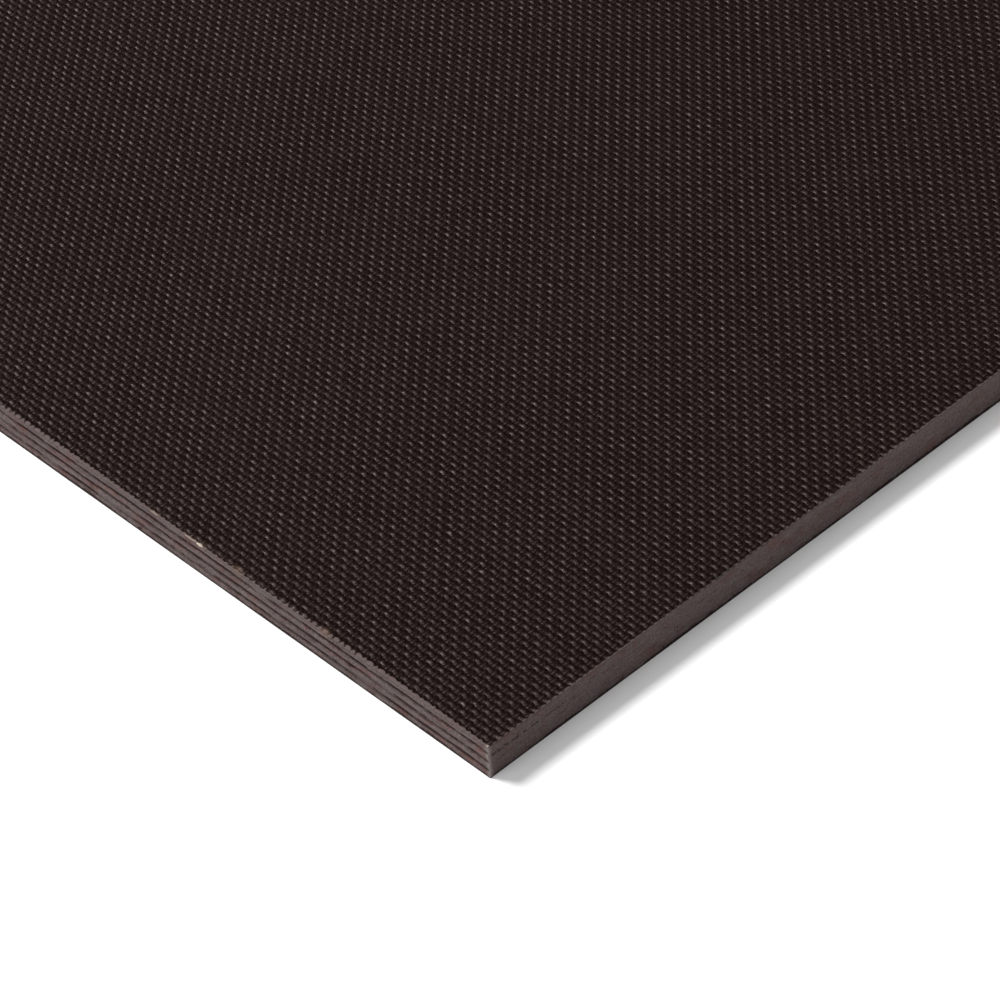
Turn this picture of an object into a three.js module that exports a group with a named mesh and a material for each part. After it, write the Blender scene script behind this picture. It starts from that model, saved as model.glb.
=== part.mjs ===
// Anti-slip film-faced birch plywood sheet: seven cross-banded veneers between two phenolic films.
// Millimetres. +X runs along the length and the face grain, +Z points up out of the anti-slip
// face, and the origin is the middle of the underside, so that the sheet lies on z = 0.
import * as THREE from 'three';

const sheet = { length: 1000, width: 500, thickness: 9.5 };
const veneerCount = 7; // odd, so that both outer veneers run lengthwise
const endGrainSetback = 0.1875; // cut end grain stands this far behind the long edges

// Both films are whole quarters of a millimetre, which leaves 1.25 mm to each veneer, so that
// the faces that are glued together lie in exactly the same plane.
const antislipFilm = { name: 'antislip_film', thickness: 0.5 };
const backingFilm = { name: 'backing_film', thickness: 0.25 };
const filmThickness = antislipFilm.thickness + backingFilm.thickness;
const veneerThickness = (sheet.thickness - filmThickness) / veneerCount;

const finishes = {
  film: { color: 0x2b2120, roughness: 0.45, metalness: 0 },
  lengthwiseEdge: { color: 0x6b5f5e, roughness: 0.6, metalness: 0 },
  crosswiseEdge: { color: 0x43312f, roughness: 0.75, metalness: 0 },
};

// One layer of the sheet: a closed box from its underside up, set back from both long edges.
function layer(name, underside, thickness, setback, finish) {
  const geometry = new THREE.BoxGeometry(sheet.length, sheet.width - 2 * setback, thickness);
  const mesh = new THREE.Mesh(geometry, new THREE.MeshStandardMaterial(finish));
  mesh.name = name;
  mesh.position.z = underside + thickness / 2;
  return mesh;
}

// Veneers count up from the underside. Odd ones have their grain along the length, even ones
// across it, so the even ones show their end grain on the long edges.
function veneer(number) {
  const lengthwise = number % 2 === 1;
  const underside = backingFilm.thickness + (number - 1) * veneerThickness;
  return layer(
    `${lengthwise ? 'long' : 'cross'}_veneer_${number}`,
    underside,
    veneerThickness,
    lengthwise ? 0 : endGrainSetback,
    lengthwise ? finishes.lengthwiseEdge : finishes.crosswiseEdge,
  );
}

const group = new THREE.Group();
group.add(layer(backingFilm.name, 0, backingFilm.thickness, 0, finishes.film));
for (let number = 1; number <= veneerCount; number += 1) {
  group.add(veneer(number));
}
const filmUnderside = sheet.thickness - antislipFilm.thickness;
group.add(layer(antislipFilm.name, filmUnderside, antislipFilm.thickness, 0, finishes.film));

export default group;
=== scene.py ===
import math

import bmesh
import bpy
import numpy as np
from mathutils import Matrix, Vector


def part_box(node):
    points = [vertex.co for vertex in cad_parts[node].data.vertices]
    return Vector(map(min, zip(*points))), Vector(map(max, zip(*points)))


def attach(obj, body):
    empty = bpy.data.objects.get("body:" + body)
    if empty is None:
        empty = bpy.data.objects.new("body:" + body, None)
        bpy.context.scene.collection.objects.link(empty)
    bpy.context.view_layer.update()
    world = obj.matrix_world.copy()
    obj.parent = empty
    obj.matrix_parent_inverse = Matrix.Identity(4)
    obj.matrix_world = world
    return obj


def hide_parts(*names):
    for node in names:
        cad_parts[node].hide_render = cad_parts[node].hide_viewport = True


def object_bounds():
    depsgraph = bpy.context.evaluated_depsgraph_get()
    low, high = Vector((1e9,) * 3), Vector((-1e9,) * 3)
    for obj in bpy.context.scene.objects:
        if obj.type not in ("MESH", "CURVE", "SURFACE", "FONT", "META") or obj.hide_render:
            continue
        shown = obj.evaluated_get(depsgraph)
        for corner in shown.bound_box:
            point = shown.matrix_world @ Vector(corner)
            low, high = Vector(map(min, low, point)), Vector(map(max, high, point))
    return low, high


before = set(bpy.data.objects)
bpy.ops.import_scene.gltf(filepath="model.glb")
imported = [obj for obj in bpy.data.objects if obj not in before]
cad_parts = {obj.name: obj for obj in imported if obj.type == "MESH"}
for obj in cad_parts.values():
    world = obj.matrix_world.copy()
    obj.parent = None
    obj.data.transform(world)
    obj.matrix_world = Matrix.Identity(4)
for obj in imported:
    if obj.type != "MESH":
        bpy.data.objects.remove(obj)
cadBox = [list(corner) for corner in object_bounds()]
low, high = Vector(cadBox[0]), Vector(cadBox[1])
mm = 0.001

veneerNames = sorted((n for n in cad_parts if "veneer" in n), key=lambda n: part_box(n)[0][2])
nearCorner = Vector((high.x, low.y, high.z))  # the corner that faces the camera

camera = {
    "aim": (-52.34 * mm, 54.25 * mm),  # on the top face, from the near corner
    "azimuth": 48.953,
    "elevation": 41.936,
    "roll": -4.541,
    "distance": 860.9 * mm,
    "lens": 141.41,
}


def addCamera():
    azimuth, elevation = math.radians(camera["azimuth"]), math.radians(camera["elevation"])
    aim = nearCorner + Vector((*camera["aim"], 0))
    back = Vector((math.sin(azimuth) * math.cos(elevation),
                   -math.cos(azimuth) * math.cos(elevation),
                   math.sin(elevation)))
    data = bpy.data.cameras.new("camera")
    data.lens = camera["lens"]
    data.sensor_width = 36
    data.clip_end = 50
    cam = bpy.data.objects.new("camera", data)
    bpy.context.scene.collection.objects.link(cam)
    look = back.to_track_quat("Z", "Y").to_matrix().to_4x4()
    roll = Matrix.Rotation(math.radians(camera["roll"]), 4, "Z")
    cam.matrix_world = Matrix.Translation(aim + back * camera["distance"]) @ look @ roll
    bpy.context.scene.camera = cam


def node(tree, kind, **settings):
    made = tree.nodes.new(kind)
    for name, value in settings.items():
        setattr(made, name, value)
    return made


def plug(tree, value, socket):  # a socket, or a plain value for the socket's own field
    if isinstance(value, bpy.types.NodeSocket):
        tree.links.new(value, socket)
    else:
        socket.default_value = value


def maths(tree, operation, a, b=0.0, c=0.0):
    made = node(tree, "ShaderNodeMath", operation=operation)
    for value, socket in zip((a, b, c), made.inputs):
        plug(tree, value, socket)
    return made.outputs[0]


def vectorMaths(tree, operation, a, b=(0, 0, 0), output="Vector"):
    made = node(tree, "ShaderNodeVectorMath", operation=operation)
    plug(tree, a, made.inputs[0])
    plug(tree, b, made.inputs[1])
    return made.outputs[output]


def combine(tree, x=0.0, y=0.0, z=0.0):
    made = node(tree, "ShaderNodeCombineXYZ")
    for value, socket in zip((x, y, z), made.inputs):
        plug(tree, value, socket)
    return made.outputs[0]


def separate(tree, vector):
    made = node(tree, "ShaderNodeSeparateXYZ")
    tree.links.new(vector, made.inputs[0])
    return made.outputs


def noise(tree, vector, scale, detail=3.0, rough=0.5):
    made = node(tree, "ShaderNodeTexNoise")
    tree.links.new(vector, made.inputs["Vector"])
    made.inputs["Scale"].default_value = scale
    made.inputs["Detail"].default_value = detail
    made.inputs["Roughness"].default_value = rough
    return made.outputs["Fac"]


def ramp(tree, value, low, high, start=0.0, end=1.0, smooth=True):
    shape = "SMOOTHSTEP" if smooth else "LINEAR"
    made = node(tree, "ShaderNodeMapRange", clamp=True, interpolation_type=shape)
    plug(tree, value, made.inputs["Value"])
    for name, number in (("From Min", low), ("From Max", high), ("To Min", start), ("To Max", end)):
        plug(tree, number, made.inputs[name])
    return made.outputs["Result"]


def mixColour(tree, share, a, b, blend="MIX"):
    made = node(tree, "ShaderNodeMix", data_type="RGBA", blend_type=blend, clamp_factor=True)
    plug(tree, share, made.inputs[0])
    plug(tree, a, made.inputs[6])
    plug(tree, b, made.inputs[7])
    return made.outputs[2]


def stretched(tree, vector, scale):
    made = node(tree, "ShaderNodeMapping")
    tree.links.new(vector, made.inputs["Vector"])
    made.inputs["Scale"].default_value = scale
    return made.outputs[0]


def newMaterial(name):
    material = bpy.data.materials.new(name)
    material.use_nodes = True
    tree = material.node_tree
    shader = tree.nodes["Principled BSDF"]
    place = node(tree, "ShaderNodeTexCoord").outputs["Object"]
    return material, tree, shader, place


def bump(tree, height, distance):
    made = node(tree, "ShaderNodeBump")
    made.inputs["Strength"].default_value = 1
    made.inputs["Distance"].default_value = distance
    tree.links.new(height, made.inputs["Height"])
    return made.outputs[0]


paint = {
    "light": (0.100, 0.067, 0.063, 1),  # edge-sealing paint on smooth long grain
    "dark": (0.019, 0.0070, 0.0062, 1),  # and where end grain has drunk it, and as painted shade along the bottom arris
    "red": (0.100, 0.046, 0.040, 1),
    "grey": (0.104, 0.082, 0.079, 1),
    "worn": (0.230, 0.205, 0.190, 1),  # scuffed on the upright arrises, and partly a painted highlight there
    # dark specks, and the painted shade inside the open checks
    "speck": (0.016, 0.009, 0.008, 1),
}
wood = {
    "bare": (0.56, 0.49, 0.42, 1),
    "resin": (0.175, 0.105, 0.070, 1),
}
chipsAndCornerHighlight = (  # along the front top arris: distance from the near corner, reach along, in and down, how bare
    # the first, at the very corner, is partly a painted highlight on its tip
    (0.1 * mm, 0.45 * mm, 0.55 * mm, 0.30 * mm, 0.50),
    (50.2 * mm, 1.2 * mm, 0.95 * mm, 1.60 * mm, 0.0),
    (78.5 * mm, 1.3 * mm, 0.95 * mm, 1.90 * mm, 0.0),
    (90.7 * mm, 1.2 * mm, 0.50 * mm, 0.60 * mm, 0.95),
    (93.8 * mm, 2.4 * mm, 0.40 * mm, 0.40 * mm, 0.30),
    (106.0 * mm, 1.4 * mm, 0.45 * mm, 0.45 * mm, 0.22),
    (311.0 * mm, 1.6 * mm, 0.40 * mm, 0.60 * mm, 0.60),
    (642.0 * mm, 2.1 * mm, 0.45 * mm, 0.50 * mm, 0.80),
)
pattern = {
    "pitch": 1.766 * mm,  # from one wire to the next
    "turn": math.radians(-0.95),  # the film is laid this far off the sheet's edges
    "firstCrossing": (-0.32, 0.012),  # from the near corner, in pitches
    "relief": 0.26 * mm,  # from the knuckles down to the pits
}
crossing = Vector((*pattern["firstCrossing"], 0)) * pattern["pitch"]
patternOrigin = Vector((nearCorner.x, nearCorner.y, 0)) + crossing

wire = {  # the cloth that pressed the film, in pitches
    "halfWidth": 0.36,
    "floor": -0.85,
    "lengthwise": (0.72, 0.0),  # how far a wire rises and dives, and how high it lies
    "crosswise": (0.56, -0.12),
    "softness": 0.12,
    "floorSoftness": 0.3,
}


def weaveHeight(tree, place):
    # plain weave: each wire rises over one neighbour and dives under the next
    mapping = node(tree, "ShaderNodeMapping", vector_type="TEXTURE")
    tree.links.new(place, mapping.inputs["Vector"])
    mapping.inputs["Location"].default_value = patternOrigin
    mapping.inputs["Rotation"].default_value = (0, 0, pattern["turn"])
    mapping.inputs["Scale"].default_value = (pattern["pitch"],) * 3
    x, y, _ = separate(tree, mapping.outputs[0])
    column, row = maths(tree, "ROUND", x), maths(tree, "ROUND", y)
    wires = []
    for along, across, line, start, (swing, level) in ((x, y, row, 0.0, wire["lengthwise"]),
                                                       (y, x, column, 1.0, wire["crosswise"])):
        phase = maths(tree, "ADD", maths(tree, "ADD", along, line), start)
        rise = maths(tree, "COSINE", maths(tree, "MULTIPLY", phase, math.pi))
        offLine = maths(tree, "DIVIDE", maths(tree, "SUBTRACT", across, line), wire["halfWidth"])
        side = maths(tree, "SUBTRACT", level, maths(tree, "MULTIPLY", offLine, offLine))
        wires.append(maths(tree, "MULTIPLY_ADD", rise, swing, side))
    top = maths(tree, "SMOOTH_MAX", wires[0], wires[1], wire["softness"])
    top = maths(tree, "SMOOTH_MAX", top, wire["floor"], wire["floorSoftness"])
    # 0 in the pits, 1 on the knuckles
    return ramp(tree, top, wire["floor"], wire["lengthwise"][0], smooth=False)


def fromFaces(tree, place):  # how far a point lies inside the short and the long edge faces
    x, y, _ = separate(tree, place)
    fromShort = maths(tree, "SUBTRACT", high.x, maths(tree, "ABSOLUTE", x))
    fromLong = maths(tree, "SUBTRACT", high.y, maths(tree, "ABSOLUTE", y))
    return fromShort, fromLong


def chipMasks(tree, place):
    ragged = noise(tree, place, 2200, 3)
    # bare wood at the chips, at the very corner partly a painted highlight
    bare, stained = 0.0, 0.0
    for along, reach, inwards, down, share in chipsAndCornerHighlight:
        middle = nearCorner - Vector((along, 0, 0))
        offset = vectorMaths(tree, "SUBTRACT", place, middle)
        scaled = vectorMaths(tree, "DIVIDE", offset, (reach, inwards, down))
        away = vectorMaths(tree, "LENGTH", scaled, output="Value")
        away = maths(tree, "MULTIPLY_ADD", ragged, 0.9, maths(tree, "SUBTRACT", away, 0.45))
        bare = maths(tree, "MAXIMUM", bare, ramp(tree, away, 1.0, 0.7, 0.0, share))
        stained = maths(tree, "MAXIMUM", stained, ramp(tree, away, 2.0, 0.6, 0.0, 0.3 + 0.2 * share))
    return bare, stained


film = {
    "knuckle": (0.0215, 0.0132, 0.0120, 1),  # the pressed resin on the knuckles, rubbed pale and lighter still as painted highlight
    # the pits are drawn darker, as painted shade
    "pit": (0.0058, 0.0016, 0.0013, 1),
    "rubbed": 0.47,  # roughness on the knuckles
    "glossy": 0.40,  # and in the pits
    "specular": 0.255,
    "specularTint": (1.0, 0.80, 0.75, 1),
    "longMargin": 0.34 * mm,  # paint that has run over the top arris
    "shortMargin": 0.06 * mm,
    "strips": 4,  # it is made side by side in this many, to keep each mesh light
    "spareWires": 8,  # laid past each edge and then trimmed, as the film is turned
}


def antislipMaterial():
    material, tree, shader, place = newMaterial("antislipFilm")
    weave = weaveHeight(tree, place)
    uneven = ramp(tree, noise(tree, place, 520, 2), 0.3, 0.7, 0.72, 1.12, smooth=False)
    pressed = maths(tree, "MULTIPLY", weave, uneven)

    fromShort, fromLong = fromFaces(tree, place)
    ragged = maths(tree, "MULTIPLY_ADD", noise(tree, place, 1100, 3), 0.55 * mm, -0.27 * mm)
    teeth = maths(tree, "MULTIPLY_ADD", weave, 0.80 * mm, -0.30 * mm)
    spread = maths(tree, "ADD", ragged, teeth)
    overLong = maths(tree, "SUBTRACT", maths(tree, "ADD", spread, film["longMargin"]), fromLong)
    shortSpread = maths(tree, "MULTIPLY_ADD", spread, 0.6, film["shortMargin"])
    overShort = maths(tree, "SUBTRACT", shortSpread, fromShort)
    over = maths(tree, "MAXIMUM", overLong, overShort)
    painted = ramp(tree, over, -0.06 * mm, 0.10 * mm)

    # pale on the knuckles, part rubbing and part painted highlight; dark in the pits, as painted shade
    worn = ramp(tree, pressed, 0.50, 1.0)
    base = mixColour(tree, worn, film["pit"], film["knuckle"])
    cloudy = ramp(tree, noise(tree, place, 14, 4), 0.3, 0.7, 0.88, 1.12)
    base = mixColour(tree, 1.0, base, combine(tree, cloudy, cloudy, cloudy), "MULTIPLY")
    dust = ramp(tree, noise(tree, place, 1900, 1), 0.74, 0.80, 0.0, 0.35)
    base = mixColour(tree, dust, base, paint["worn"])
    mottle = ramp(tree, noise(tree, place, 700, 4, 0.6), 0.3, 0.7)
    margin = mixColour(tree, mottle, paint["light"], paint["grey"])
    _, _, z = separate(tree, place)
    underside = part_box("antislip_film")[0][2]
    glueLine = ramp(tree, z, underside + 0.16 * mm, underside, 0.0, 0.4)
    margin = mixColour(tree, glueLine, margin, paint["dark"])
    colour = mixColour(tree, painted, base, margin)
    bare, stained = chipMasks(tree, place)
    colour = mixColour(tree, stained, colour, wood["resin"])
    colour = mixColour(tree, bare, colour, wood["bare"])
    tree.links.new(colour, shader.inputs["Base Color"])

    rough = ramp(tree, worn, 0.0, 1.0, film["glossy"], film["rubbed"])
    smear = ramp(tree, noise(tree, place, 260, 3), 0.3, 0.7, -0.04, 0.06)
    rough = maths(tree, "ADD", rough, smear)
    rough = maths(tree, "MAXIMUM", rough, maths(tree, "MULTIPLY", painted, 0.62))
    tree.links.new(rough, shader.inputs["Roughness"])
    shader.inputs["Specular IOR Level"].default_value = film["specular"]
    shader.inputs["Specular Tint"].default_value = film["specularTint"]
    filled = maths(tree, "MULTIPLY_ADD", painted, -0.6, 1.0)
    height = maths(tree, "MULTIPLY", pressed, filled)
    height = maths(tree, "MULTIPLY_ADD", noise(tree, place, 2600, 2), 0.12, height)
    tree.links.new(bump(tree, height, pattern["relief"] * 1.6), shader.inputs["Normal"])
    return material


backing = {
    "dark": (0.016, 0.008, 0.007, 1),
    "pale": (0.030, 0.018, 0.016, 1),
    "glossy": (0.28, 0.42),  # least and most roughness
    "step": 2 * mm,
    "arris": 0.10 * mm,
}


def backingMaterial():
    material, tree, shader, place = newMaterial("backingFilm")
    streaks = noise(tree, stretched(tree, place, (6, 60, 60)), 8, 5, 0.6)
    cloudy = ramp(tree, streaks, 0.3, 0.7)
    colour = mixColour(tree, cloudy, backing["dark"], backing["pale"])
    tree.links.new(colour, shader.inputs["Base Color"])
    tree.links.new(ramp(tree, streaks, 0.2, 0.8, *backing["glossy"]), shader.inputs["Roughness"])
    tree.links.new(bump(tree, noise(tree, place, 700, 3), 0.01 * mm), shader.inputs["Normal"])
    return material


edge = {
    "checkHeight": 6.15 * mm,  # where the row of open checks runs on the short edges
    "checkReach": 0.80 * mm,
    "fibre": (110, 110, 1900),  # waves of the grain to a metre, along, across and up
    "blotchScale": 330,
    "grainScale": 1700,
    "ragged": (1.2, 1.9, 1.2),  # how far fibres, blotches and grain break up the soaked lines
}


def edgeMaterial():
    material, tree, shader, place = newMaterial("sealedEdge")
    _, _, z = separate(tree, place)
    fromShort, fromLong = fromFaces(tree, place)
    onShort = ramp(tree, maths(tree, "SUBTRACT", fromLong, fromShort), 0.0, 0.2 * mm)
    # how soaked each ply's edge is, with the painted shade along the bottom arris
    soaked = node(tree, "ShaderNodeAttribute", attribute_name="soaked").outputs["Fac"]
    thirst = noise(tree, stretched(tree, place, (1, 1, 6)), 40, 3)
    soaked = maths(tree, "MULTIPLY", soaked, ramp(tree, thirst, 0.38, 0.58, 0.52, 1.15))
    fibres = noise(tree, stretched(tree, place, edge["fibre"]), 1, 4, 0.6)
    blotch = noise(tree, stretched(tree, place, (1, 1, 1.8)), edge["blotchScale"], 4, 0.65)
    fine = noise(tree, place, edge["grainScale"], 3, 0.6)
    drawn = soaked
    for texture, amount in zip((fibres, blotch, fine), edge["ragged"]):
        drawn = maths(tree, "MULTIPLY_ADD", maths(tree, "SUBTRACT", texture, 0.5), amount, drawn)
    dark = ramp(tree, drawn, 0.34, 0.72)
    glueLine = ramp(tree, z, high.z - 0.80 * mm, high.z - 0.52 * mm, 0.0, 0.55)
    dark = maths(tree, "MAXIMUM", dark, glueLine)

    light = mixColour(tree, ramp(tree, blotch, 0.35, 0.62), paint["grey"], paint["light"])
    ruddy = noise(tree, stretched(tree, place, (1, 1, 2.5)), 120, 4, 0.6)
    light = mixColour(tree, ramp(tree, ruddy, 0.50, 0.66, 0.0, 0.8), light, paint["red"])
    streaky = maths(tree, "MULTIPLY_ADD", onShort, -0.6, 1.0)
    shade = maths(tree, "MULTIPLY_ADD", ramp(tree, fibres, 0.30, 0.70, -0.28, 0.22), streaky, 1.0)
    shade = maths(tree, "MULTIPLY", shade, ramp(tree, fine, 0.3, 0.7, 0.66, 1.32))
    light = mixColour(tree, 1.0, light, combine(tree, shade, shade, shade), "MULTIPLY")
    colour = mixColour(tree, dark, light, paint["dark"])

    # open checks in the end grain of the short edges, in one row under the film and a few elsewhere; their
    # dark colour is painted shade inside the cracks
    row = maths(tree, "ABSOLUTE", maths(tree, "SUBTRACT", z, edge["checkHeight"]))
    inRow = ramp(tree, row, edge["checkReach"], 0.0, 0.0, 0.22)
    away = vectorMaths(tree, "DISTANCE", place, nearCorner, output="Value")
    near = ramp(tree, away, 34 * mm, 4 * mm, 0.0, 0.13)
    dashes = noise(tree, stretched(tree, place, (900, 900, 1250)), 1, 3, 0.6)
    dashes = maths(tree, "ADD", maths(tree, "ADD", dashes, inRow), near)
    check = maths(tree, "MULTIPLY", ramp(tree, dashes, 0.78, 0.85), onShort)
    specks = ramp(tree, noise(tree, place, 1500, 2), 0.66, 0.74, 0.0, 0.75)
    colour = mixColour(tree, maths(tree, "MAXIMUM", check, specks), colour, paint["speck"])

    # pale down the upright corners: partly scuffed paint, partly painted highlight on the rounded arris
    corner = maths(tree, "MAXIMUM", fromShort, fromLong)
    scuffedAndLit = maths(tree, "MULTIPLY_ADD", fibres, -1.6 * mm, corner)
    scuffedAndLit = ramp(tree, scuffedAndLit, 0.5 * mm, -0.7 * mm, 0.0, 0.7)
    colour = mixColour(tree, scuffedAndLit, colour, paint["worn"])
    bare, stained = chipMasks(tree, place)
    colour = mixColour(tree, stained, colour, wood["resin"])
    colour = mixColour(tree, bare, colour, wood["bare"])
    inside = ramp(tree, maths(tree, "MINIMUM", fromShort, fromLong), 1.2 * mm, 1.8 * mm)
    colour = mixColour(tree, inside, colour, wood["bare"])  # the glued faces are unpainted
    tree.links.new(colour, shader.inputs["Base Color"])

    tree.links.new(ramp(tree, dark, 0.0, 1.0, 0.55, 0.8), shader.inputs["Roughness"])
    shader.inputs["Specular IOR Level"].default_value = 0.15
    height = maths(tree, "MULTIPLY_ADD", fine, 0.5, fibres)
    height = maths(tree, "MULTIPLY_ADD", blotch, 0.6, height)
    height = maths(tree, "MULTIPLY_ADD", maths(tree, "MAXIMUM", check, dark), -0.6, height)
    tree.links.new(bump(tree, height, 0.14 * mm), shader.inputs["Normal"])
    return material


def filmTree(material):
    tree = bpy.data.node_groups.new("wireMeshFilm", "GeometryNodeTree")
    face = tree.interface
    face.new_socket("Geometry", in_out="INPUT", socket_type="NodeSocketGeometry")
    for name in ("Columns", "Rows"):
        face.new_socket(name, in_out="INPUT", socket_type="NodeSocketInt")
    for name in ("Middle Column", "Middle Row", "Pitch", "Turn", "Relief", "Top", "Underside"):
        face.new_socket(name, in_out="INPUT", socket_type="NodeSocketFloat")
    for name in ("Origin", "Half Size"):
        face.new_socket(name, in_out="INPUT", socket_type="NodeSocketVector")
    face.new_socket("Geometry", in_out="OUTPUT", socket_type="NodeSocketGeometry")
    given = node(tree, "NodeGroupInput").outputs
    links = tree.links

    grid = node(tree, "GeometryNodeMeshGrid")
    for count, size, vertices in (("Columns", "Size X", "Vertices X"), ("Rows", "Size Y", "Vertices Y")):
        links.new(maths(tree, "MULTIPLY", given[count], given["Pitch"]), grid.inputs[size])
        links.new(maths(tree, "ADD", given[count], 1.0), grid.inputs[vertices])

    # each square between four crossings gets a pit in its middle
    poke = node(tree, "GeometryNodeExtrudeMesh")
    poke.inputs["Offset Scale"].default_value = 0
    links.new(grid.outputs["Mesh"], poke.inputs["Mesh"])
    shrink = node(tree, "GeometryNodeScaleElements")
    shrink.inputs["Scale"].default_value = 0
    links.new(poke.outputs["Mesh"], shrink.inputs["Geometry"])
    links.new(poke.outputs["Top"], shrink.inputs["Selection"])
    sink = node(tree, "GeometryNodeSetPosition")
    links.new(shrink.outputs[0], sink.inputs["Geometry"])
    links.new(poke.outputs["Top"], sink.inputs["Selection"])
    down = maths(tree, "MULTIPLY", given["Relief"], -1.0)
    links.new(combine(tree, 0.0, 0.0, down), sink.inputs["Offset"])
    weld = node(tree, "GeometryNodeMergeByDistance")
    links.new(sink.outputs[0], weld.inputs["Geometry"])
    links.new(maths(tree, "MULTIPLY", given["Pitch"], 0.01), weld.inputs["Distance"])

    # lay the pattern on the sheet, a little off square
    middle = combine(tree, given["Middle Column"], given["Middle Row"])
    scaled = node(tree, "ShaderNodeVectorMath", operation="SCALE")
    links.new(middle, scaled.inputs[0])
    links.new(given["Pitch"], scaled.inputs["Scale"])
    position = node(tree, "GeometryNodeInputPosition").outputs[0]
    shifted = vectorMaths(tree, "ADD", position, scaled.outputs[0])
    turned = node(tree, "ShaderNodeVectorRotate", rotation_type="Z_AXIS")
    links.new(shifted, turned.inputs["Vector"])
    links.new(given["Turn"], turned.inputs["Angle"])
    placed = vectorMaths(tree, "ADD", turned.outputs[0], given["Origin"])
    lay = node(tree, "GeometryNodeSetPosition")
    links.new(weld.outputs[0], lay.inputs["Geometry"])
    links.new(placed, lay.inputs["Position"])

    # trim it to the sheet: what lies outside is drawn in to the edge, and whole faces outside go
    beyond = vectorMaths(tree, "SUBTRACT", vectorMaths(tree, "ABSOLUTE", position), given["Half Size"])
    outX, outY, _ = separate(tree, beyond)
    outside = maths(tree, "GREATER_THAN", maths(tree, "MAXIMUM", outX, outY), 0.0)
    mark = node(tree, "GeometryNodeStoreNamedAttribute", data_type="FLOAT", domain="POINT")
    mark.inputs["Name"].default_value = "outside"
    links.new(lay.outputs[0], mark.inputs["Geometry"])
    links.new(outside, mark.inputs["Value"])
    farSide = vectorMaths(tree, "MULTIPLY", given["Half Size"], (-1, -1, -1))
    within = vectorMaths(tree, "MINIMUM", position, given["Half Size"])
    within = vectorMaths(tree, "MAXIMUM", within, farSide)
    draw = node(tree, "GeometryNodeSetPosition")
    links.new(mark.outputs[0], draw.inputs["Geometry"])
    links.new(within, draw.inputs["Position"])
    share = node(tree, "GeometryNodeInputNamedAttribute", data_type="FLOAT")
    share.inputs["Name"].default_value = "outside"
    trim = node(tree, "GeometryNodeDeleteGeometry", domain="FACE", mode="ALL")
    links.new(draw.outputs[0], trim.inputs["Geometry"])
    links.new(maths(tree, "GREATER_THAN", share.outputs[0], 0.99), trim.inputs["Selection"])
    lift = node(tree, "GeometryNodeSetPosition")
    links.new(trim.outputs[0], lift.inputs["Geometry"])
    links.new(combine(tree, 0.0, 0.0, given["Top"]), lift.inputs["Offset"])

    # side walls down to the veneer, then the underside
    neighbours = node(tree, "GeometryNodeInputMeshEdgeNeighbors").outputs[0]
    rim = maths(tree, "COMPARE", neighbours, 1.0, 0.1)
    wall = node(tree, "GeometryNodeExtrudeMesh", mode="EDGES")
    wall.inputs["Offset Scale"].default_value = 0
    links.new(lift.outputs[0], wall.inputs["Mesh"])
    links.new(rim, wall.inputs["Selection"])
    x, y, _ = separate(tree, position)
    foot = node(tree, "GeometryNodeSetPosition")
    links.new(wall.outputs["Mesh"], foot.inputs["Geometry"])
    links.new(wall.outputs["Top"], foot.inputs["Selection"])
    links.new(combine(tree, x, y, given["Underside"]), foot.inputs["Position"])
    loop = node(tree, "GeometryNodeMeshToCurve")
    links.new(foot.outputs[0], loop.inputs["Mesh"])
    links.new(wall.outputs["Top"], loop.inputs["Selection"])
    cap = node(tree, "GeometryNodeFillCurve", mode="NGONS")
    links.new(loop.outputs[0], cap.inputs["Curve"])
    lower = node(tree, "GeometryNodeSetPosition")
    links.new(cap.outputs[0], lower.inputs["Geometry"])
    links.new(combine(tree, 0.0, 0.0, given["Underside"]), lower.inputs["Offset"])
    join = node(tree, "GeometryNodeJoinGeometry")
    links.new(lower.outputs[0], join.inputs[0])
    links.new(foot.outputs[0], join.inputs[0])
    close = node(tree, "GeometryNodeMergeByDistance")
    close.inputs["Distance"].default_value = 0.002 * mm
    links.new(join.outputs[0], close.inputs["Geometry"])
    real = node(tree, "GeometryNodeRealizeInstances")
    links.new(close.outputs[0], real.inputs[0])
    coat = node(tree, "GeometryNodeSetMaterial")
    coat.inputs["Material"].default_value = material
    links.new(real.outputs[0], coat.inputs["Geometry"])
    links.new(coat.outputs[0], node(tree, "NodeGroupOutput").inputs[0])
    return tree


def growFromTree(name, tree, values):
    seed = bpy.data.objects.new(name + "Seed", bpy.data.meshes.new(name + "Seed"))
    bpy.context.scene.collection.objects.link(seed)
    modifier = seed.modifiers.new("nodes", "NODES")
    modifier.node_group = tree
    for item in tree.interface.items_tree:
        if item.in_out == "INPUT" and item.name in values:
            modifier[item.identifier] = values[item.name]
    seed.update_tag()
    bpy.context.view_layer.update()
    graph = bpy.context.evaluated_depsgraph_get()
    mesh = bpy.data.meshes.new_from_object(seed.evaluated_get(graph))
    mesh.name = name
    bpy.data.objects.remove(seed)
    return mesh


def finishMesh(mesh, name):
    shape = bmesh.new()
    shape.from_mesh(mesh)
    bmesh.ops.triangulate(shape, faces=[f for f in shape.faces if len(f.verts) > 4])
    bmesh.ops.recalc_face_normals(shape, faces=shape.faces)
    openEdges = sum(1 for e in shape.edges if len(e.link_faces) != 2)
    shape.to_mesh(mesh)
    shape.free()
    triangles = sum(len(p.vertices) - 2 for p in mesh.polygons)
    print(f"{name}: {triangles} triangles, {openEdges} open edges")
    made = bpy.data.objects.new(name, mesh)
    bpy.context.scene.collection.objects.link(made)
    return made


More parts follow.
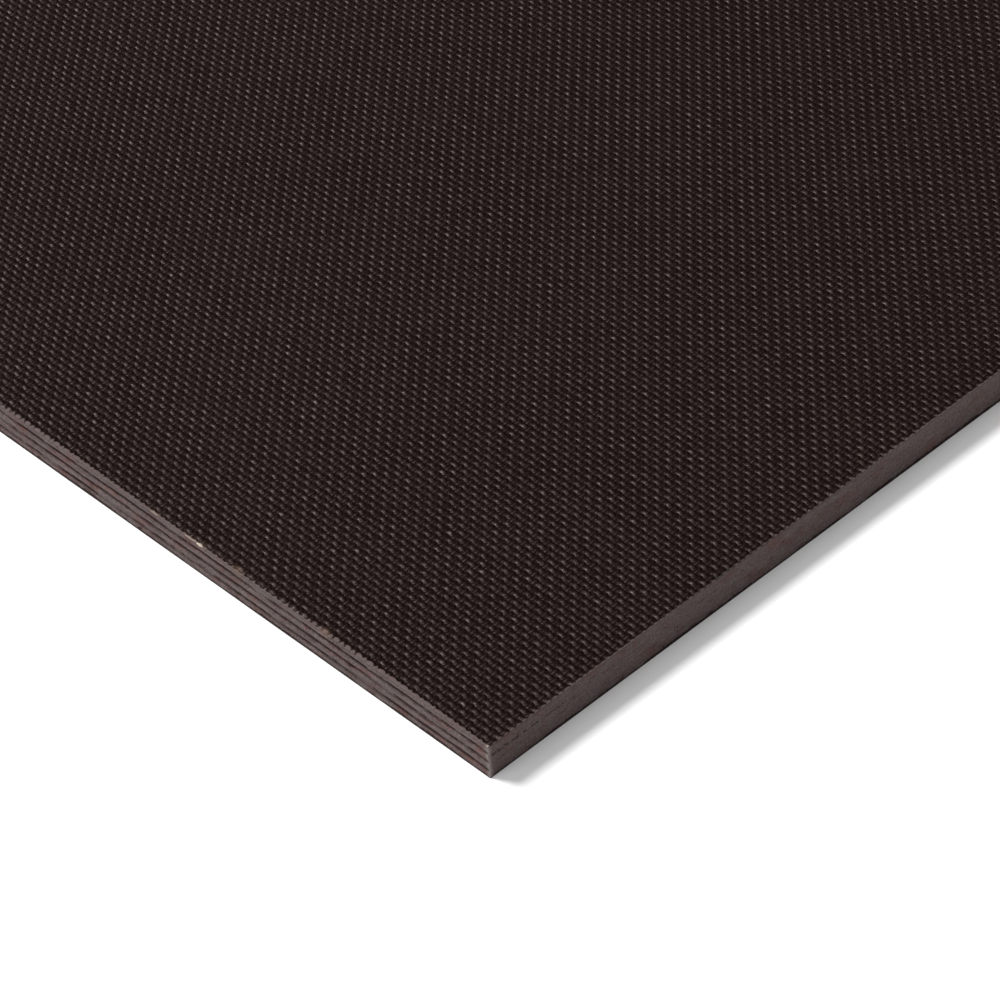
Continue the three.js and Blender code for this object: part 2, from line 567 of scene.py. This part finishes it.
def levelNormals(mesh):
    # the pressed relief is shaded by the material, so the top face's own normals stay level
    count = len(mesh.polygons)
    normals = np.empty(count * 3)
    mesh.polygons.foreach_get("normal", normals)
    normals = normals.reshape(-1, 3)
    totals = np.empty(count, dtype=int)
    mesh.polygons.foreach_get("loop_total", totals)
    normals[normals[:, 2] > 0.3] = (0, 0, 1)
    mesh.shade_smooth()
    mesh.normals_split_custom_set(np.repeat(normals, totals, axis=0).tolist())


filmMap = {  # how the film's faces lie on its own map, for a bake
    "across": 48,  # wires to the map's width; the next ones lie over the first again
    "up": 32,
    "patternFoot": 0.35,  # the pattern lies above this, the painted border in rows below it
    "border": 3.0 * mm,
    "rowReach": 150 * mm,  # length of border to a row
    "rowHeight": 0.031,
    "foot": 0.001,
    "gap": 0.01,  # at both ends of a row
    "sliver": (0.9, 0.01),  # for the glued underside
    "sliverFoot": 0.346,
}


def cornerValues(mesh, label, width):  # a value of each face, once for each of its corners
    values = np.empty(len(mesh.polygons) * width)
    mesh.polygons.foreach_get(label, values)
    totals = np.empty(len(mesh.polygons), dtype=int)
    mesh.polygons.foreach_get("loop_total", totals)
    return np.repeat(values.reshape(-1, width), totals, axis=0)


def mapFilm(mesh, underside):
    corners = np.empty(len(mesh.loops), dtype=int)
    mesh.loops.foreach_get("vertex_index", corners)
    places = np.empty(len(mesh.vertices) * 3)
    mesh.vertices.foreach_get("co", places)
    place = places.reshape(-1, 3)[corners]
    middle = cornerValues(mesh, "center", 3)
    normal = cornerValues(mesh, "normal", 3)

    # the pattern, in wires from its first crossing, folded over a whole number of wires
    turn = pattern["turn"]
    square = np.array(((math.cos(turn), -math.sin(turn)), (math.sin(turn), math.cos(turn))))
    square /= pattern["pitch"]
    start = np.array(patternOrigin[:2])
    repeat = np.array((filmMap["across"], filmMap["up"]))
    fold = np.floor((middle[:, :2] - start) @ square / repeat) * repeat
    spread = ((place[:, :2] - start) @ square - fold) / repeat
    spread[:, 1] = filmMap["patternFoot"] + spread[:, 1] * (1 - filmMap["patternFoot"])

    # the painted border and the side walls, in rows, each face on the side that it is nearest to
    scale = (1 - 2 * filmMap["gap"]) / filmMap["rowReach"]
    fromShort, fromLong = high.x - np.abs(middle[:, 0]), high.y - np.abs(middle[:, 1])
    onLong = fromLong <= fromShort
    along = np.where(onLong, high.x - place[:, 0], place[:, 1] - low.y)
    centre = np.where(onLong, high.x - middle[:, 0], middle[:, 1] - low.y)
    row = np.floor(centre / filmMap["rowReach"])
    side = np.where(onLong, 20 + 10 * (middle[:, 1] > 0), 10 * (middle[:, 0] > 0))
    inwards = np.where(onLong, high.y - np.abs(place[:, 1]), high.x - np.abs(place[:, 0]))
    inwards = np.where(np.abs(normal[:, 2]) < 0.3, place[:, 2] - underside, high.z - underside + inwards)
    border = (np.minimum(fromShort, fromLong) < filmMap["border"]) & (normal[:, 2] > -0.5)
    rows = np.unique((side + row)[border], return_inverse=True)[1]
    spread[border, 0] = filmMap["gap"] + scale * (along - row * filmMap["rowReach"])[border]
    spread[border, 1] = filmMap["foot"] + rows * filmMap["rowHeight"] + scale * inwards[border]

    below = normal[:, 2] < -0.5  # glued to the veneer, so it gets a sliver of the map
    spread[below] = place[below, :2] * filmMap["sliver"] + (0.5, filmMap["sliverFoot"])
    layer = mesh.uv_layers.new(name="OFBake")
    layer.data.foreach_set("uv", spread.astype(np.float32).ravel())


def addAntislipFilm(material):
    tree = filmTree(material)
    lowCorner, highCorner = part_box("antislip_film")
    pitch = pattern["pitch"]
    size = Vector(highCorner) - Vector(lowCorner)
    spare = film["spareWires"]
    columns = 2 * math.ceil(size.x / pitch / 2) + 2 * spare
    rowCount = math.ceil(size.y / pitch) + 2 * spare
    edges = [round(rowCount * k / film["strips"]) - spare for k in range(film["strips"] + 1)]
    for number, (first, last) in enumerate(zip(edges, edges[1:]), 1):
        name = f"antislipFilm{number}"
        mesh = growFromTree(name, tree, {
            "Columns": columns,
            "Rows": last - first,
            "Middle Column": -round(size.x / pitch / 2),
            "Middle Row": (first + last) / 2,
            "Pitch": pitch,
            "Turn": pattern["turn"],
            "Relief": pattern["relief"],
            "Top": highCorner[2],
            "Underside": lowCorner[2],
            "Origin": patternOrigin,
            "Half Size": (size.x / 2, size.y / 2, 1.0),
        })
        piece = finishMesh(mesh, name)
        levelNormals(mesh)
        mapFilm(mesh, lowCorner[2])
        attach(piece, "root")
    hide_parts("antislip_film")
    print("anti-slip film laid")


def perimeter(size, step, cornerRound):
    # points round a rectangle with slightly rounded corners, with their outward directions
    halfX, halfY = size.x / 2 - cornerRound, size.y / 2 - cornerRound
    points, outwards = [], []
    corners = ((halfX, -halfY, -90), (halfX, halfY, 0), (-halfX, halfY, 90), (-halfX, -halfY, 180))
    for k, (cx, cy, angle) in enumerate(corners):
        for turn in (0, 30, 60, 90):
            a = math.radians(angle + turn)
            outwards.append((math.cos(a), math.sin(a)))
            points.append((cx + cornerRound * math.cos(a), cy + cornerRound * math.sin(a)))
        nx, ny, _ = corners[(k + 1) % 4]
        ends = np.array(points[-1]), np.array((nx, ny)) + cornerRound * np.array(outwards[-1])
        count = round(float(np.linalg.norm(ends[1] - ends[0])) / step)
        for share in np.arange(1, count) / count:
            points.append(tuple(ends[0] * (1 - share) + ends[1] * share))
            outwards.append(outwards[-1])
    return np.array(points), np.array(outwards)


def wander(random, length, count, spacing):
    # a smooth random line that closes on itself, from 0 to 1
    knots = max(int(length / spacing), 4)
    values = random.random(knots)
    return np.interp(np.arange(count) * knots / count, np.arange(knots + 1), np.append(values, values[0]))


rimMap = {  # the slabs' own map: the rim in rows, the flat faces above them
    "rowReach": 85 * mm,
    "rowHeight": 0.0176,
    "undersideFoot": (0.01, 0.67),
    "topFoot": (0.51, 0.67),
    "flatScale": 0.47,
    "foot": 0.001,
    "gap": 0.025,  # at both ends of a row
}


def mapSlab(mesh, points, heights):
    count, rings = len(points), len(heights)
    steps = np.linalg.norm(np.roll(points, -1, axis=0) - points, axis=1)
    begins = np.concatenate(([0], np.cumsum(steps)[:-1]))
    row = np.floor(begins / rimMap["rowReach"])
    scale = (1 - 2 * rimMap["gap"]) / rimMap["rowReach"]
    left = rimMap["gap"] + scale * (begins - row * rimMap["rowReach"])
    right = left + scale * steps
    spread = []
    for k in range(rings - 1):
        begin = rimMap["foot"] + row * rimMap["rowHeight"]
        foot, head = (begin + scale * (heights[ring] - heights[0]) for ring in (k, k + 1))
        quads = np.stack([left, foot, right, foot, right, head, left, head], axis=1)
        spread.append(quads.reshape(-1, 2))
    flat = (points - points.min(axis=0)) * rimMap["flatScale"]
    spread += [flat[::-1] + rimMap["undersideFoot"], flat + rimMap["topFoot"]]
    layer = mesh.uv_layers.new(name="OFBake")
    layer.data.foreach_set("uv", np.concatenate(spread).astype(np.float32).ravel())


def slab(name, heights, inset, points, outwards, attributes):
    # a closed slab: one ring of points at each height, drawn in by inset
    rings, count = len(heights), len(points)
    rows = np.concatenate([
        np.column_stack([points - outwards * inset[k][:, None], heights[k] + np.zeros(count)])
        for k in range(rings)])
    faces = []
    for k in range(rings - 1):
        for c in range(count):
            d = (c + 1) % count
            faces.append((k * count + c, k * count + d, (k + 1) * count + d, (k + 1) * count + c))
    faces.append(tuple(range(count))[::-1])
    faces.append(tuple(range((rings - 1) * count, rings * count)))
    mesh = bpy.data.meshes.new(name)
    mesh.from_pydata(rows.tolist(), [], faces)
    for label, values in attributes.items():
        layer = mesh.attributes.new(label, "FLOAT", "POINT")
        layer.data.foreach_set("value", np.concatenate(values).astype(np.float32))
    mapSlab(mesh, points, heights)
    return mesh


veneer = {
    "step": 1.0 * mm,
    "cornerRound": 0.35 * mm,
    "arrisRound": 0.10 * mm,
    "endGrainDip": 0.30 * mm,
    "coreShare": 0.36,  # how far up a ply its darkest, most soaked line runs
}


def addVeneer(name, number, material):
    lowCorner, highCorner = (Vector(c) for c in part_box(name))
    random = np.random.default_rng(100 + number)
    lengthwise = number % 2 == 1
    points, outwards = perimeter(highCorner - lowCorner, veneer["step"], veneer["cornerRound"])
    points = points + np.array(((lowCorner.x + highCorner.x) / 2, (lowCorner.y + highCorner.y) / 2))
    count = len(points)
    length = 2 * (highCorner - lowCorner).x + 2 * (highCorner - lowCorner).y
    onLong = np.abs(outwards[:, 1]) > 0.7
    depth = highCorner.z - lowCorner.z
    drift = wander(random, length, count, 30 * mm)
    dip = wander(random, length, count, 4 * mm)
    core = veneer["coreShare"] + 0.16 * (wander(random, length, count, 55 * mm) - 0.5)
    shares = (0.0, core * 0.35, core, core + (1 - core) * 0.55, 1.0)
    heights = [lowCorner.z + share * depth for share in shares]
    rounding = (0.0 if number == 1 else 1.0, 0.2, 0.0, 0.2, 0.0 if number == len(veneerNames) else 1.0)
    soaking = (0.05, 0.5, 1.0, 0.45, 0.05)
    footShade = (1.3, 1.2, 0.55, 0.1, 0.0) if number == 1 else (0.0,) * 5  # the bottom arris, drawn dark as painted shade where the edge meets the floor
    inset, soaked = [], []
    for k in range(len(shares)):
        fine = wander(random, length, count, 2.5 * mm)
        arris = rounding[k] * veneer["arrisRound"] * np.where(onLong, 1, 0.25)
        inset.append(drift * 0.03 * mm + fine * 0.05 * mm + arris)
        if lengthwise:
            soaked.append(np.where(onLong, 0.05, 0.14) + footShade[k])
        else:
            inset[-1] += np.where(onLong, dip * veneer["endGrainDip"], 0)
            soaked.append(np.where(onLong, soaking[k] * (0.72 + 0.45 * dip), 0.08))
    mesh = slab(name + "Edge", heights, inset, points, outwards, {"soaked": soaked})
    first, *rest = name.split("_")
    piece = finishMesh(mesh, first + "".join(word.capitalize() for word in rest))
    mesh.shade_smooth()
    mesh.set_sharp_from_angle(angle=math.radians(50))
    piece.data.materials.append(material)
    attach(piece, "root")
    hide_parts(name)


def addBackingFilm(material):
    lowCorner, highCorner = (Vector(c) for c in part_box("backing_film"))
    random = np.random.default_rng(7)
    size = highCorner - lowCorner
    points, outwards = perimeter(size, backing["step"], veneer["cornerRound"])
    count = len(points)
    trim = wander(random, 2 * size.x + 2 * size.y, count, 9 * mm) * 0.06 * mm
    inset = [trim * 0.4 + 0.02 * mm, trim * 0.3, trim]
    heights = [lowCorner.z, lowCorner.z + backing["arris"], highCorner.z]
    mesh = slab("backingFilm", heights, inset, points, outwards, {})
    piece = finishMesh(mesh, "backingFilm")
    mesh.shade_smooth()
    mesh.set_sharp_from_angle(angle=math.radians(50))
    piece.data.materials.append(material)
    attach(piece, "root")
    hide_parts("backing_film")


floor = {
    "reach": 20,
    "drop": 0.02 * mm,  # keeps it clear of the sheet's underside
    "colour": (0.92, 0.92, 0.92, 1),
    "roughness": 0.9,
    "specular": 0.1,
}


def addFloor():
    material, _, shader, _ = newMaterial("floor")
    shader.inputs["Base Color"].default_value = floor["colour"]
    shader.inputs["Roughness"].default_value = floor["roughness"]
    shader.inputs["Specular IOR Level"].default_value = floor["specular"]
    mesh = bpy.data.meshes.new("floor")
    corners = [(x * floor["reach"], y * floor["reach"], 0) for x, y in ((-1, -1), (1, -1), (1, 1), (-1, 1))]
    mesh.from_pydata(corners, [], [(0, 1, 2, 3)])
    mesh.materials.append(material)
    made = bpy.data.objects.new("floor", mesh)
    bpy.context.scene.collection.objects.link(made)
    made.location.z = -floor["drop"]


suns = {  # azimuth and elevation in degrees, strength, and how wide each one is in degrees
    "key": (-68, 53, 3.1, 18),
    "overhead": (0, 88, 0.4, 80),
    "front": (8, 44, 1.45, 60),
}
room = {"dim": 0.06, "seen": 1.0}  # the light that the walls give, and how pale they look


def addSun(name, azimuth, elevation, strength, softness):
    data = bpy.data.lights.new(name, "SUN")
    data.energy = strength
    data.angle = math.radians(softness)
    lamp = bpy.data.objects.new(name, data)
    bpy.context.scene.collection.objects.link(lamp)
    a, e = math.radians(azimuth), math.radians(elevation)
    away = Vector((math.sin(a) * math.cos(e), -math.cos(a) * math.cos(e), math.sin(e)))
    lamp.matrix_world = away.to_track_quat("Z", "Y").to_matrix().to_4x4()


def addWorld():
    world = bpy.data.worlds.new("studio")
    bpy.context.scene.world = world
    world.use_nodes = True
    tree = world.node_tree
    back = tree.nodes["Background"]
    back.inputs["Color"].default_value = (1, 1, 1, 1)
    seen = node(tree, "ShaderNodeLightPath").outputs["Is Camera Ray"]
    strength = ramp(tree, seen, 0.0, 1.0, room["dim"], room["seen"], smooth=False)
    tree.links.new(strength, back.inputs["Strength"])


addCamera()
antislip = antislipMaterial()
smooth = backingMaterial()
sealed = edgeMaterial()
addAntislipFilm(antislip)
for number, name in enumerate(veneerNames, 1):
    addVeneer(name, number, sealed)
print("veneers stacked")
addBackingFilm(smooth)
addFloor()
for name, light in suns.items():
    addSun(name, *light)
addWorld()
bpy.context.scene.view_settings.view_transform = "Standard"
print("stage lit")
